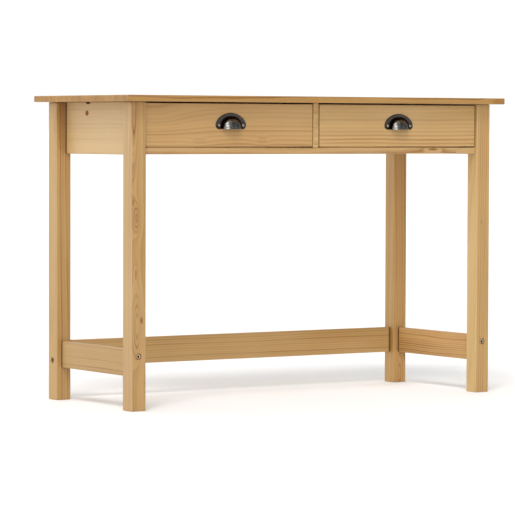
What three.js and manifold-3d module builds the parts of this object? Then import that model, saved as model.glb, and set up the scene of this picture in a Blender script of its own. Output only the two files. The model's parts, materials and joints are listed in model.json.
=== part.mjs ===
// A pine writing desk with two drawers: four square legs, three aprons, a front rail, three low
// stretchers and a full-depth partition between the drawers. It is knock-down furniture, so the
// stretchers are held by bolts and barrel nuts, the aprons by cam locks, and the top by pocket screws.
// Millimetres. +X is to the right of a person facing the drawers, +Y to the rear and +Z up.
// The origin is on the floor under the middle of the tabletop.
import * as THREE from "three";
import { mergeVertices } from "three/addons/utils/BufferGeometryUtils.js";
import Module from "manifold-3d";

const wasm = await Module();
wasm.setup();

// Overall size and stock.
const WIDTH = 1100;
const DEPTH = 450;
const HEIGHT = 740;
const PANEL = 15; // thickness of the top, the aprons, the rail, the stretchers and the drawer fronts
const LEG = 40; // side of the square legs
const GAP = 0.3; // clearance at every glued or bolted face
const EASE = 1; // eased edge of the boards
const LEG_EASE = 2.5; // rounder edge of the legs
const EASE_STEPS = 3; // straight steps in an eased edge
const END_EASE = 0.9; // the ends are eased a little less, so that no corner shrinks to a point
const STRETCHER_EASE = 3;
const STRETCHER_GAP = 0.8; // at the ends of the stretchers
const APRON_EASE = 1.5;
const ROUND = 16; // sides of the small round pieces and holes

// Leg frame.
const SIDE_OVERHANG = 25;
const END_OVERHANG = 28; // tabletop past the legs at the front and the rear
const LEG_X = WIDTH / 2 - SIDE_OVERHANG - LEG / 2; // middle of a leg
const LEG_Y = DEPTH / 2 - END_OVERHANG - LEG / 2;
const INNER_X = LEG_X - LEG / 2; // inner face of the legs and the side aprons
const INNER_Y = LEG_Y - LEG / 2;
const UNDERSIDE = HEIGHT - PANEL;
const APRON_BOTTOM = 600;
const RAIL_BOTTOM = 601.2;
const RAIL_TOP = RAIL_BOTTOM + PANEL;
const RAIL_DEPTH = 50;
const DRAWER_FACE_Y = -(LEG_Y + LEG / 2) + 7; // drawers, rail and partition sit 7 mm behind the legs
const RUNNER_WIDTH = 20;
const CENTRE_RUNNER_WIDTH = 60;

// Stretchers and their bolts.
const STRETCHER_BOTTOM = 79.5;
const STRETCHER_TOP = STRETCHER_BOTTOM + 65;
const SIDE_BOLT_Z = 128.5;
const REAR_BOLT_Z = 96.5; // lower, so that the two bolts in a rear leg pass each other
const BOLT = { length: 70, shank: 3, head: 5.6, headLength: 6, socket: 2.5, socketDepth: 3, recess: 1.5 };
const BOLT_HOLE = 3.4;
const COUNTERBORE = { radius: 7.2, depth: BOLT.recess + BOLT.headLength };
const NUT = { radius: 5, length: 12, inset: 27, slotWidth: 1.5, slotDepth: 1.5 };

// Cam locks and cam bolts.
const CAM = { radius: 7.5, length: 12, inset: 34, drive: 2.4, driveDepth: 4 };
const CAM_BOLT = { tip: 11, thread: 3, collar: 3.8, collarLength: 2, shank: 2.4, ball: 3, bore: 4.1 };
const SIDE_CAM_Z = 690;
const REAR_CAM_Z = 650;

// Pocket screws that hold the top down.
const POCKET = { tilt: THREE.MathUtils.degToRad(15), y: 70, radius: 4.8, below: 19 };
const TOP_SCREW = { length: 30, shank: 2, head: 4, headLength: 2.4, drive: 1.6, driveDepth: 1.4 };

// Drawers.
const FRONT = { inner: 10.5, outer: 482, bottom: 619.3, top: 721.6 };
const BOX = { inner: 12, outer: 480.5, bottom: RAIL_TOP + GAP, top: 711.4, wall: 12, rear: INNER_Y - 0.6 };
const BOTTOM_PANEL = { z: 628, thickness: 3, housing: 6 };

// Cup handles.
const HANDLE = {
  z: 661, // bottom edge
  halfWidth: 42.8,
  halfFoot: 34.5, // half of the straight bottom edge
  shoulder: 10, // height of the widest point
  height: 38.5,
  power: 1.85, // of the curve above the shoulder: 2 would be an ellipse
  plate: 1.8,
};
const CUP = { halfWidth: 26, depth: 18.5, height: 26, wall: 1.6, power: 2.3 };
const HANDLE_SCREW = { x: 33.8, z: 9.5, shank: 1.6, length: 14, head: 3.4, headLength: 2, drive: 0.45 };

const material = (color, roughness, metalness = 0) =>
  new THREE.MeshStandardMaterial({ color, roughness, metalness });
const WAXED_PINE = material(0xc39a63, 0.5);
const DRAWER_PINE = material(0xd9b98a, 0.6);
const PLYWOOD = material(0xcfae7c, 0.7);
const ZINC_STEEL = material(0xb9bcbe, 0.35, 1);
const PEWTER = material(0x4a4744, 0.35, 1);

const desk = new THREE.Group();
const vector = (x, y, z) => new THREE.Vector3(x, y, z);
const UP = vector(0, 1, 0); // the axis that lathes and cylinders are made on

// ---- solids ----

function toSolid(geometry) {
  const bare = geometry.clone();
  bare.deleteAttribute("normal");
  bare.deleteAttribute("uv");
  const merged = mergeVertices(bare, 1e-4);
  return new wasm.Manifold(
    new wasm.Mesh({
      numProp: 3,
      vertProperties: new Float32Array(merged.attributes.position.array),
      triVerts: new Uint32Array(merged.index.array),
    }),
  );
}

function toGeometry(solid) {
  const mesh = solid.getMesh();
  const geometry = new THREE.BufferGeometry();
  geometry.setAttribute("position", new THREE.BufferAttribute(mesh.vertProperties, 3));
  geometry.setIndex(new THREE.BufferAttribute(mesh.triVerts, 1));
  geometry.computeVertexNormals();
  return geometry;
}

function cut(geometry, cutters) {
  let solid = toSolid(geometry);
  for (const cutter of cutters) solid = solid.subtract(toSolid(cutter));
  return toGeometry(solid);
}

// A cylinder between two points.
function rod(from, to, radius, sides = ROUND) {
  const along = to.clone().sub(from);
  const turn = new THREE.Quaternion().setFromUnitVectors(UP, along.clone().normalize());
  const middle = from.clone().add(to).multiplyScalar(0.5);
  return new THREE.CylinderGeometry(radius, radius, along.length(), sides)
    .applyQuaternion(turn)
    .translate(middle.x, middle.y, middle.z);
}

function block(low, high) {
  const size = high.clone().sub(low);
  const middle = low.clone().add(high).multiplyScalar(0.5);
  return new THREE.BoxGeometry(size.x, size.y, size.z).translate(middle.x, middle.y, middle.z);
}

// A rectangle with round corners, centred on 0.
function easedRectangle(width, height, radius) {
  const w = width / 2;
  const h = height / 2;
  const shape = new THREE.Shape();
  shape.absarc(w - radius, h - radius, radius, 0, Math.PI / 2);
  shape.absarc(-w + radius, h - radius, radius, Math.PI / 2, Math.PI);
  shape.absarc(-w + radius, -h + radius, radius, Math.PI, 1.5 * Math.PI);
  shape.absarc(w - radius, -h + radius, radius, 1.5 * Math.PI, 2 * Math.PI);
  return shape;
}

// A board from one corner to the opposite one, extruded along its grain with all its edges eased.
// Cutters are given in the desk's frame.
function board(name, low, high, grain, look, { ease = EASE, cutters = [], parent = desk } = {}) {
  const size = high.clone().sub(low);
  const middle = low.clone().add(high).multiplyScalar(0.5);
  const [width, height, length] = {
    x: [size.y, size.z, size.x],
    y: [size.z, size.x, size.y],
    z: [size.x, size.y, size.z],
  }[grain];
  let geometry = new THREE.ExtrudeGeometry(easedRectangle(width, height, ease), {
    depth: length - 2 * ease,
    bevelThickness: ease,
    bevelSize: END_EASE * ease,
    bevelOffset: -END_EASE * ease,
    bevelSegments: 2,
    curveSegments: EASE_STEPS,
  }).translate(0, 0, ease - length / 2);
  if (grain === "x") geometry.rotateX(Math.PI / 2).rotateZ(Math.PI / 2);
  if (grain === "y") geometry.rotateZ(Math.PI / 2).rotateX(-Math.PI / 2).rotateY(Math.PI);
  if (cutters.length) {
    const local = cutters.map((c) => c.clone().translate(-middle.x, -middle.y, -middle.z));
    geometry = cut(geometry, local);
  }
  const mesh = new THREE.Mesh(geometry, look);
  mesh.name = name;
  mesh.position.copy(middle);
  parent.add(mesh);
  return mesh;
}

// A turned piece whose profile, [radius, height] pairs, runs up its axis to its head at height 0.
// It stands with its head's middle at a point and its head facing a direction.
function turned(name, profile, head, facing, look, { cutters = [], parent = desk, sides = ROUND } = {}) {
  const points = profile.map(([radius, height]) => new THREE.Vector2(radius, height));
  let geometry = new THREE.LatheGeometry(points, sides);
  if (cutters.length) geometry = cut(geometry, cutters);
  const mesh = new THREE.Mesh(geometry, look);
  mesh.name = name;
  mesh.position.copy(head);
  mesh.quaternion.setFromUnitVectors(UP, facing);
  parent.add(mesh);
  return mesh;
}

// ---- fasteners ----

function stretcherBolt(name, head, facing) {
  const { length, shank, head: radius, headLength, socket, socketDepth } = BOLT;
  const profile = [
    [0, -headLength - length],
    [shank, -headLength - length],
    [shank, -headLength],
    [radius, -headLength],
    [radius, -0.6],
    [radius - 0.6, 0],
    [0, 0],
  ];
  const hexagon = rod(vector(0, -socketDepth, 0), vector(0, 1, 0), socket / Math.cos(Math.PI / 6), 6);
  turned(name, profile, head, facing, ZINC_STEEL, { cutters: [hexagon] });
}

// The barrel nut lies across the bolt, and its slotted end shows in the face of the stretcher.
function barrelNut(name, end, facing, boltAxis) {
  const { radius, length, slotWidth, slotDepth } = NUT;
  const profile = [
    [0, -length],
    [radius, -length],
    [radius, 0],
    [0, 0],
  ];
  const across = radius + 1;
  const turn = new THREE.Quaternion().setFromUnitVectors(UP, facing).invert();
  const along = boltAxis.clone().applyQuaternion(turn);
  const middle = vector(0, -length / 2, 0);
  const reach = along.clone().multiplyScalar(across);
  const thread = rod(middle.clone().sub(reach), middle.clone().add(reach), BOLT_HOLE);
  const slot = block(vector(-across, -slotDepth, -slotWidth / 2), vector(across, 1, slotWidth / 2));
  turned(name, profile, end, facing, ZINC_STEEL, { cutters: [thread, slot] });
}

// A cam lock is a short drum with a cross drive, and a slot and a mouth that take the bolt's ball.
function camLock(name, face, facing, boltAxis) {
  const { radius, length, drive, driveDepth } = CAM;
  const profile = [
    [0, -length],
    [radius, -length],
    [radius, 0],
    [0, 0],
  ];
  const turn = new THREE.Quaternion().setFromUnitVectors(UP, facing).invert();
  const along = boltAxis.clone().applyQuaternion(turn);
  const middle = vector(0, -PANEL / 2, 0);
  const mouth = rod(middle, middle.clone().addScaledVector(along, radius + 1), CAM_BOLT.ball + 0.6);
  const cross = [
    block(vector(-drive, -driveDepth, -0.6), vector(drive, 1, 0.6)),
    block(vector(-0.6, -driveDepth, -drive), vector(0.6, 1, drive)),
  ];
  turned(name, profile, face, facing, ZINC_STEEL, { cutters: [mouth, ...cross] });
}

// A cam bolt is screwed into the leg and its ball reaches the cam in the apron's end.
function camBolt(name, legFace, facing) {
  const { tip, thread, collar, collarLength, shank, ball } = CAM_BOLT;
  const reach = CAM.inset - 1;
  const profile = [
    [0, -reach - tip],
    [thread, -reach - tip],
    [thread, -reach],
    [collar, -reach],
    [collar, -reach + collarLength],
    [shank, -reach + collarLength],
    [shank, -2 * ball],
    [ball, -1.5 * ball],
    [ball, -0.5 * ball],
    [ball / 2, 0],
    [0, 0],
  ];
  turned(name, profile, legFace.clone().addScaledVector(facing, reach), facing, ZINC_STEEL, { sides: 12 });
}

// ---- what the fasteners cut from the wood ----

// Clearance hole and counterbore through a leg, from the outer face along the bolt.
function boltCutters(outerFace, inward) {
  const inner = outerFace.clone().addScaledVector(inward, LEG + 1);
  const outside = outerFace.clone().addScaledVector(inward, -1);
  const shoulder = outerFace.clone().addScaledVector(inward, COUNTERBORE.depth);
  return [rod(outside, inner, BOLT_HOLE), rod(outside, shoulder, COUNTERBORE.radius)];
}

// Bolt bore in a stretcher's end, and the cross bore of its barrel nut.
function nutCutters(end, inward, facing) {
  const tip = end.clone().addScaledVector(inward, BOLT.length - LEG + COUNTERBORE.depth + 6);
  const centre = end.clone().addScaledVector(inward, NUT.inset);
  const floor = centre.clone().addScaledVector(facing, -NUT.length / 2 - GAP);
  const mouth = centre.clone().addScaledVector(facing, PANEL);
  return [
    rod(end.clone().addScaledVector(inward, -1), tip, BOLT_HOLE),
    rod(floor, mouth, NUT.radius + GAP),
  ];
}

// Pocket of a cam lock in an apron's face, and the bore of its bolt in the apron's end.
function camCutters(end, inward, facing) {
  const centre = end.clone().addScaledVector(inward, CAM.inset);
  const face = centre.clone().addScaledVector(facing, PANEL / 2);
  return [
    rod(end.clone().addScaledVector(inward, -1), centre, CAM_BOLT.bore),
    rod(
      face.clone().addScaledVector(facing, -CAM.length - GAP),
      face.clone().addScaledVector(facing, 1),
      CAM.radius + GAP,
    ),
  ];
}

const camBoltHole = (legFace, facing) =>
  rod(
    legFace.clone().addScaledVector(facing, -CAM_BOLT.tip - GAP - 1),
    legFace.clone().addScaledVector(facing, 1),
    CAM_BOLT.thread + GAP,
  );

// A pocket screw leans out of the apron's inner face and up through the middle of its top edge.
function pocketAxis(side) {
  return vector(side * Math.sin(POCKET.tilt), 0, Math.cos(POCKET.tilt));
}
const pocketExit = (side, y) => vector(side * (INNER_X + PANEL / 2), y, UNDERSIDE);

function pocketCutters(side, y) {
  const axis = pocketAxis(side);
  const exit = pocketExit(side, y);
  const shoulder = exit.clone().addScaledVector(axis, -POCKET.below);
  const tip = exit.clone().addScaledVector(axis, TOP_SCREW.length - POCKET.below + 0.5);
  return {
    apron: [
      rod(shoulder, tip, TOP_SCREW.shank + GAP),
      rod(shoulder.clone().addScaledVector(axis, -40), shoulder, POCKET.radius),
    ],
    top: [rod(shoulder, tip, TOP_SCREW.shank + GAP)],
  };
}

function topScrew(name, side, y) {
  const axis = pocketAxis(side);
  const { length, shank, head, headLength, drive, driveDepth } = TOP_SCREW;
  const profile = [
    [0, -headLength - length],
    [shank, -headLength - length + 4],
    [shank, -headLength],
    [head, -headLength],
    [head, -0.8],
    [head * 0.7, 0],
    [0, 0],
  ];
  const square = block(vector(-drive, -driveDepth, -drive), vector(drive, 1, drive));
  const seat = pocketExit(side, y).addScaledVector(axis, -POCKET.below - GAP - headLength);
  turned(name, profile, seat, axis.clone().negate(), ZINC_STEEL, { cutters: [square], sides: 12 });
}

// ---- tabletop ----

const SIDES = { left: -1, right: 1 };
const ENDS = { front: -1, rear: 1 };
const pocketSpots = [];
for (const [sideName, side] of Object.entries(SIDES)) {
  for (const [endName, end] of Object.entries(ENDS)) {
    pocketSpots.push({ name: `top_screw_${endName}_${sideName}`, side, y: end * POCKET.y });
  }
}
board(
  "tabletop",
  vector(-WIDTH / 2, -DEPTH / 2, UNDERSIDE),
  vector(WIDTH / 2, DEPTH / 2, HEIGHT),
  "x",
  WAXED_PINE,
  { ease: 1.5, cutters: pocketSpots.flatMap(({ side, y }) => pocketCutters(side, y).top) },
);
for (const { name, side, y } of pocketSpots) topScrew(name, side, y);

// ---- legs, with the bolts and cam bolts that pass through or into them ----

for (const [sideName, side] of Object.entries(SIDES)) {
  for (const [endName, end] of Object.entries(ENDS)) {
    const x = side * LEG_X;
    const y = end * LEG_Y;
    const inwardX = vector(-side, 0, 0);
    const inwardY = vector(0, -end, 0);
    const sideBoltFace = vector(x, y + (end * LEG) / 2, SIDE_BOLT_Z);
    const camX = side * (INNER_X + PANEL / 2);
    const sideCamFace = vector(camX, y - (end * LEG) / 2, SIDE_CAM_Z);
    const cutters = [...boltCutters(sideBoltFace, inwardY), camBoltHole(sideCamFace, inwardY)];
    const outward = inwardY.clone().negate();
    const sideBoltHead = sideBoltFace.clone().addScaledVector(inwardY, BOLT.recess - GAP);
    stretcherBolt(`side_stretcher_bolt_${endName}_${sideName}`, sideBoltHead, outward);
    camBolt(`side_cam_bolt_${endName}_${sideName}`, sideCamFace, inwardY);
    if (endName === "rear") {
      const rearBoltFace = vector(x + (side * LEG) / 2, y, REAR_BOLT_Z);
      const rearCamFace = vector(x - (side * LEG) / 2, INNER_Y + PANEL / 2, REAR_CAM_Z);
      cutters.push(...boltCutters(rearBoltFace, inwardX), camBoltHole(rearCamFace, inwardX));
      const rearBoltHead = rearBoltFace.clone().addScaledVector(inwardX, BOLT.recess - GAP);
      stretcherBolt(`rear_stretcher_bolt_${sideName}`, rearBoltHead, inwardX.clone().negate());
      camBolt(`rear_cam_bolt_${sideName}`, rearCamFace, inwardX);
    }
    board(
      `${endName}_${sideName}_leg`,
      vector(x - LEG / 2, y - LEG / 2, 0),
      vector(x + LEG / 2, y + LEG / 2, UNDERSIDE - GAP),
      "z",
      WAXED_PINE,
      { ease: LEG_EASE, cutters },
    );
  }
}

// ---- side aprons and side stretchers ----

for (const [sideName, side] of Object.entries(SIDES)) {
  const apronX = side * (INNER_X + PANEL / 2);
  const camFacing = vector(-side, 0, 0);
  const nutFacing = vector(1, 0, 0); // the two side stretchers are the same piece, turned the same way
  const apronCutters = [];
  const stretcherCutters = [];
  for (const [endName, end] of Object.entries(ENDS)) {
    const inward = vector(0, -end, 0);
    const apronEnd = vector(apronX, end * INNER_Y, SIDE_CAM_Z);
    apronCutters.push(...camCutters(apronEnd, inward, camFacing));
    apronCutters.push(...pocketCutters(side, end * POCKET.y).apron);
    const camFace = vector(side * INNER_X, end * (INNER_Y - CAM.inset), SIDE_CAM_Z);
    camLock(`side_cam_lock_${endName}_${sideName}`, camFace, camFacing, inward.clone().negate());

    const stretcherEnd = vector(side * LEG_X, end * INNER_Y, SIDE_BOLT_Z);
    stretcherCutters.push(...nutCutters(stretcherEnd, inward, nutFacing));
    const nutEnd = vector(side * LEG_X + NUT.length / 2, end * (INNER_Y - NUT.inset), SIDE_BOLT_Z);
    barrelNut(`side_barrel_nut_${endName}_${sideName}`, nutEnd, nutFacing, inward);
  }
  board(
    `${sideName}_apron`,
    vector(apronX - PANEL / 2, -INNER_Y + GAP, APRON_BOTTOM),
    vector(apronX + PANEL / 2, INNER_Y - GAP, UNDERSIDE - GAP),
    "y",
    WAXED_PINE,
    { ease: APRON_EASE, cutters: apronCutters },
  );
  board(
    `${sideName}_stretcher`,
    vector(side * LEG_X - PANEL / 2, -INNER_Y + STRETCHER_GAP, STRETCHER_BOTTOM),
    vector(side * LEG_X + PANEL / 2, INNER_Y - STRETCHER_GAP, STRETCHER_TOP),
    "y",
    WAXED_PINE,
    { ease: STRETCHER_EASE, cutters: stretcherCutters },
  );
}

// ---- rear apron and rear stretcher ----

const rearApronY = INNER_Y + PANEL / 2;
const rearApronCutters = [];
const rearStretcherCutters = [];
for (const [sideName, side] of Object.entries(SIDES)) {
  const inward = vector(-side, 0, 0);
  const toFront = vector(0, -1, 0);
  const toRear = vector(0, 1, 0);
  rearApronCutters.push(...camCutters(vector(side * INNER_X, rearApronY, REAR_CAM_Z), inward, toFront));
  const camFace = vector(side * (INNER_X - CAM.inset), INNER_Y, REAR_CAM_Z);
  camLock(`rear_cam_lock_${sideName}`, camFace, toFront, inward.clone().negate());
  const stretcherEnd = vector(side * INNER_X, LEG_Y, REAR_BOLT_Z);
  rearStretcherCutters.push(...nutCutters(stretcherEnd, inward, toRear));
  const nutEnd = vector(side * (INNER_X - NUT.inset), LEG_Y + NUT.length / 2, REAR_BOLT_Z);
  barrelNut(`rear_barrel_nut_${sideName}`, nutEnd, toRear, inward);
}
board(
  "rear_apron",
  vector(-INNER_X + GAP, rearApronY - PANEL / 2, APRON_BOTTOM),
  vector(INNER_X - GAP, rearApronY + PANEL / 2, UNDERSIDE - GAP),
  "x",
  WAXED_PINE,
  { ease: APRON_EASE, cutters: rearApronCutters },
);
board(
  "rear_stretcher",
  vector(-INNER_X + STRETCHER_GAP, LEG_Y - PANEL / 2, STRETCHER_BOTTOM),
  vector(INNER_X - STRETCHER_GAP, LEG_Y + PANEL / 2, STRETCHER_TOP),
  "x",
  WAXED_PINE,
  { ease: STRETCHER_EASE, cutters: rearStretcherCutters },
);

// ---- front rail, runners and partition ----

const railRear = DRAWER_FACE_Y + RAIL_DEPTH;
board(
  "front_rail",
  vector(-INNER_X + GAP, DRAWER_FACE_Y, RAIL_BOTTOM),
  vector(INNER_X - GAP, railRear, RAIL_TOP),
  "x",
  WAXED_PINE,
);
const runnerSpans = {
  left_runner: [-INNER_X + GAP, -INNER_X + RUNNER_WIDTH],
  centre_runner: [-CENTRE_RUNNER_WIDTH / 2, CENTRE_RUNNER_WIDTH / 2],
  right_runner: [INNER_X - RUNNER_WIDTH, INNER_X - GAP],
};
for (const [name, [x0, x1]] of Object.entries(runnerSpans)) {
  board(
    name,
    vector(x0, railRear + GAP, RAIL_BOTTOM),
    vector(x1, INNER_Y - GAP, RAIL_TOP),
    "y",
    DRAWER_PINE,
  );
}
board(
  "centre_partition",
  vector(-PANEL / 2, DRAWER_FACE_Y, RAIL_TOP + GAP),
  vector(PANEL / 2, INNER_Y - GAP, UNDERSIDE - GAP),
  "y",
  WAXED_PINE,
);

// ---- cup handle ----

// Outline of the back plate, x across and y up from the middle of its bottom edge.
function plateOutline() {
  const { halfWidth, halfFoot, shoulder, height, power } = HANDLE;
  const corner = halfWidth - halfFoot;
  const steps = 32;
  const shape = new THREE.Shape();
  shape.moveTo(-halfFoot, 0);
  shape.lineTo(halfFoot, 0);
  shape.absellipse(halfFoot, shoulder, corner, shoulder, -Math.PI / 2, 0);
  for (let i = 1; i < steps; i++) {
    const turn = (Math.PI * i) / steps;
    const across = Math.sign(Math.cos(turn)) * Math.abs(Math.cos(turn)) ** (2 / power);
    const upward = Math.sin(turn) ** (2 / power);
    shape.lineTo(halfWidth * across, shoulder + (height - shoulder) * upward);
  }
  shape.absellipse(-halfFoot, shoulder, corner, shoulder, Math.PI, 1.5 * Math.PI);
  return shape;
}

// A swollen ellipsoid: a sphere whose points are moved out until |x|^n + |y|^n + |z|^n = 1.
function swollenEllipsoid(halfWidth, depth, height, power) {
  const geometry = new THREE.SphereGeometry(1, 28, 20);
  const points = geometry.attributes.position;
  for (let i = 0; i < points.count; i++) {
    const p = vector(points.getX(i), points.getY(i), points.getZ(i));
    const sum = Math.abs(p.x) ** power + Math.abs(p.y) ** power + Math.abs(p.z) ** power;
    p.multiplyScalar(sum ** (-1 / power));
    points.setXYZ(i, p.x * halfWidth, p.y * depth, p.z * height);
  }
  return geometry;
}

// The handle stands on the drawer's face: x across, -y out of the face, z up from its bottom edge.
function handleGeometry() {
  const { halfWidth, depth, height, wall, power } = CUP;
  const { plate } = HANDLE;
  const backPlate = new THREE.ExtrudeGeometry(plateOutline(), {
    depth: plate,
    bevelEnabled: false,
    curveSegments: 6,
  }).rotateX(Math.PI / 2);
  const keep = block(vector(-60, -60, 0), vector(60, 0, 60));
  const below = block(vector(-60, -60, -60), vector(60, 60, 0));
  const outer = toSolid(swollenEllipsoid(halfWidth, depth, height, power));
  const hollow = toSolid(
    swollenEllipsoid(halfWidth - wall, depth - wall, height - wall, power),
  );
  const screwHoles = [-1, 1].map((side) => {
    const x = side * HANDLE_SCREW.x;
    return rod(vector(x, -5, HANDLE_SCREW.z), vector(x, 5, HANDLE_SCREW.z), HANDLE_SCREW.shank + GAP, 12);
  });
  let solid = outer.intersect(toSolid(keep)).add(toSolid(backPlate)).subtract(hollow);
  for (const hole of screwHoles) solid = solid.subtract(toSolid(hole));
  return toGeometry(solid.subtract(toSolid(below)));
}

function handleScrew(name, x, parent) {
  const { z, shank, length, head, headLength, drive } = HANDLE_SCREW;
  const profile = [
    [0, -headLength - length],
    [shank, -headLength - length + 4],
    [shank, -headLength],
    [head, -headLength],
    [head * 0.9, -headLength * 0.45],
    [head * 0.55, -headLength * 0.1],
    [0, 0],
  ];
  const slot = block(vector(-head, -0.9, -drive), vector(head, 1, drive));
  const head3 = vector(x, -HANDLE.plate - GAP - headLength, z);
  turned(name, profile, head3, vector(0, -1, 0), PEWTER, { cutters: [slot], parent });
}

// ---- drawers ----

for (const [sideName, side] of Object.entries(SIDES)) {
  const drawer = new THREE.Group();
  desk.add(drawer);
  const pine = { parent: drawer };
  // The span of x between two distances from the desk's middle, on this drawer's side.
  const span = (a, b) => [Math.min(side * a, side * b), Math.max(side * a, side * b)];
  const handleX = (side * (FRONT.inner + FRONT.outer)) / 2;
  const boxFront = DRAWER_FACE_Y + PANEL;
  const panelTop = BOTTOM_PANEL.z + BOTTOM_PANEL.thickness;
  const [bottomX0, bottomX1] = span(
    BOX.inner + BOTTOM_PANEL.housing,
    BOX.outer - BOTTOM_PANEL.housing,
  );
  const housing = block(
    vector(bottomX0 - GAP, boxFront - BOTTOM_PANEL.housing - GAP, BOTTOM_PANEL.z - GAP),
    vector(bottomX1 + GAP, BOX.rear + 1, panelTop + GAP),
  );
  const pilots = [-1, 1].map((end) => {
    const x = handleX + end * HANDLE_SCREW.x;
    const z = HANDLE.z + HANDLE_SCREW.z;
    const tip = DRAWER_FACE_Y + HANDLE_SCREW.length - HANDLE.plate + 1;
    return rod(vector(x, DRAWER_FACE_Y - 1, z), vector(x, tip, z), HANDLE_SCREW.shank + GAP, 12);
  });

  const [frontX0, frontX1] = span(FRONT.inner, FRONT.outer);
  board(
    `${sideName}_drawer_front`,
    vector(frontX0, DRAWER_FACE_Y, FRONT.bottom),
    vector(frontX1, boxFront, FRONT.top),
    "x",
    WAXED_PINE,
    { ...pine, cutters: [housing, ...pilots] },
  );
  const walls = {
    inner: span(BOX.inner, BOX.inner + BOX.wall),
    outer: span(BOX.outer - BOX.wall, BOX.outer),
  };
  for (const [wallName, [x0, x1]] of Object.entries(walls)) {
    board(
      `${sideName}_drawer_${wallName}_side`,
      vector(x0, boxFront + GAP, BOX.bottom),
      vector(x1, BOX.rear, BOX.top),
      "y",
      DRAWER_PINE,
      { ...pine, cutters: [housing] },
    );
  }
  const [backX0, backX1] = span(BOX.inner + BOX.wall + GAP, BOX.outer - BOX.wall - GAP);
  board(
    `${sideName}_drawer_back`,
    vector(backX0, BOX.rear - BOX.wall, panelTop + GAP),
    vector(backX1, BOX.rear, BOX.top),
    "x",
    DRAWER_PINE,
    pine,
  );
  board(
    `${sideName}_drawer_bottom`,
    vector(bottomX0, boxFront - BOTTOM_PANEL.housing, BOTTOM_PANEL.z),
    vector(bottomX1, BOX.rear, panelTop),
    "y",
    PLYWOOD,
    { ...pine, ease: 0.2 },
  );

  const fitting = new THREE.Group();
  fitting.position.set(handleX, DRAWER_FACE_Y - GAP, HANDLE.z);
  drawer.add(fitting);
  const handle = new THREE.Mesh(handleGeometry(), PEWTER);
  handle.name = `${sideName}_cup_handle`;
  fitting.add(handle);
  handleScrew(`${sideName}_handle_screw_a`, -HANDLE_SCREW.x, fitting);
  handleScrew(`${sideName}_handle_screw_b`, HANDLE_SCREW.x, fitting);
}

export default desk;
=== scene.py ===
"""A pine writing desk with two drawers: camera, studio, materials and the detailed metal fittings.

The wooden boards are the CAD nodes with solid-wood materials. The cup handles, their screws and
the stretcher bolts are replaced with finer pieces. Lengths are in metres.
"""
import json
import math

import bmesh
import bpy
from mathutils import Matrix, Vector


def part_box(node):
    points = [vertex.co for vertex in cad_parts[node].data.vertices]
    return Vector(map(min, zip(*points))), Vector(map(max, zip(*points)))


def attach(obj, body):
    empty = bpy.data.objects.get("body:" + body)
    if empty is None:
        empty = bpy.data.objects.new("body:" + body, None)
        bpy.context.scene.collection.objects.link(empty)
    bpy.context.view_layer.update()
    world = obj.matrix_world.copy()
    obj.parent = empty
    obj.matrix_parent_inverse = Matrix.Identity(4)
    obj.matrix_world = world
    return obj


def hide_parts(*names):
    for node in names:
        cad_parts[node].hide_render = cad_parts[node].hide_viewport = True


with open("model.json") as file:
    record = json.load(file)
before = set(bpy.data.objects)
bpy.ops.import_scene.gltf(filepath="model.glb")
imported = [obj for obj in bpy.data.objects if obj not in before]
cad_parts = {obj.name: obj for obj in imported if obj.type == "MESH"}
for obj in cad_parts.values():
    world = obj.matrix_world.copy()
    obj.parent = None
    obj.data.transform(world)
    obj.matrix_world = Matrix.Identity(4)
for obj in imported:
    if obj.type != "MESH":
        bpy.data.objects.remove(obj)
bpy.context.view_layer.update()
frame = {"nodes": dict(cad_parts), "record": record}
NODES = frame["nodes"]
MM = 0.001


def srgb(red, green, blue):
    """A linear colour from sRGB numbers out of 255."""

    def linear(value):
        value /= 255
        return value / 12.92 if value <= 0.04045 else ((value + 0.055) / 1.055) ** 2.4

    return (linear(red), linear(green), linear(blue), 1.0)


# ---- camera and studio ----

CAMERA_PLACE = (-4.1639, -6.2792, 0.6636)
CAMERA_TURN = (-33.269, -2.4386, 0.187)  # yaw, pitch and roll in degrees
CAMERA_LENS = 212.46  # millimetres, for a sensor 36 mm wide
FLOOR_RADIUS = 800


def make_camera():
    data = bpy.data.cameras.new("camera")
    data.sensor_width = 36
    data.lens = CAMERA_LENS
    data.clip_end = 2000
    camera = bpy.data.objects.new("camera", data)
    yaw, pitch, roll = (math.radians(angle) for angle in CAMERA_TURN)
    turn = (
        Matrix.Rotation(yaw, 4, "Z")
        @ Matrix.Rotation(math.pi / 2 + pitch, 4, "X")
        @ Matrix.Rotation(roll, 4, "Z")
    )
    camera.matrix_world = Matrix.Translation(CAMERA_PLACE) @ turn
    bpy.context.scene.collection.objects.link(camera)
    bpy.context.scene.camera = camera


def sun(name, towards, strength, spread, colour):
    """A soft directional light that stands in the direction `towards`, spread over so many degrees."""
    data = bpy.data.lights.new(name, "SUN")
    data.energy = strength
    data.angle = math.radians(spread)
    data.color = colour
    light = bpy.data.objects.new(name, data)
    light.rotation_mode = "QUATERNION"
    light.rotation_quaternion = Vector(towards).to_track_quat("Z", "Y")
    bpy.context.scene.collection.objects.link(light)


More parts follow.
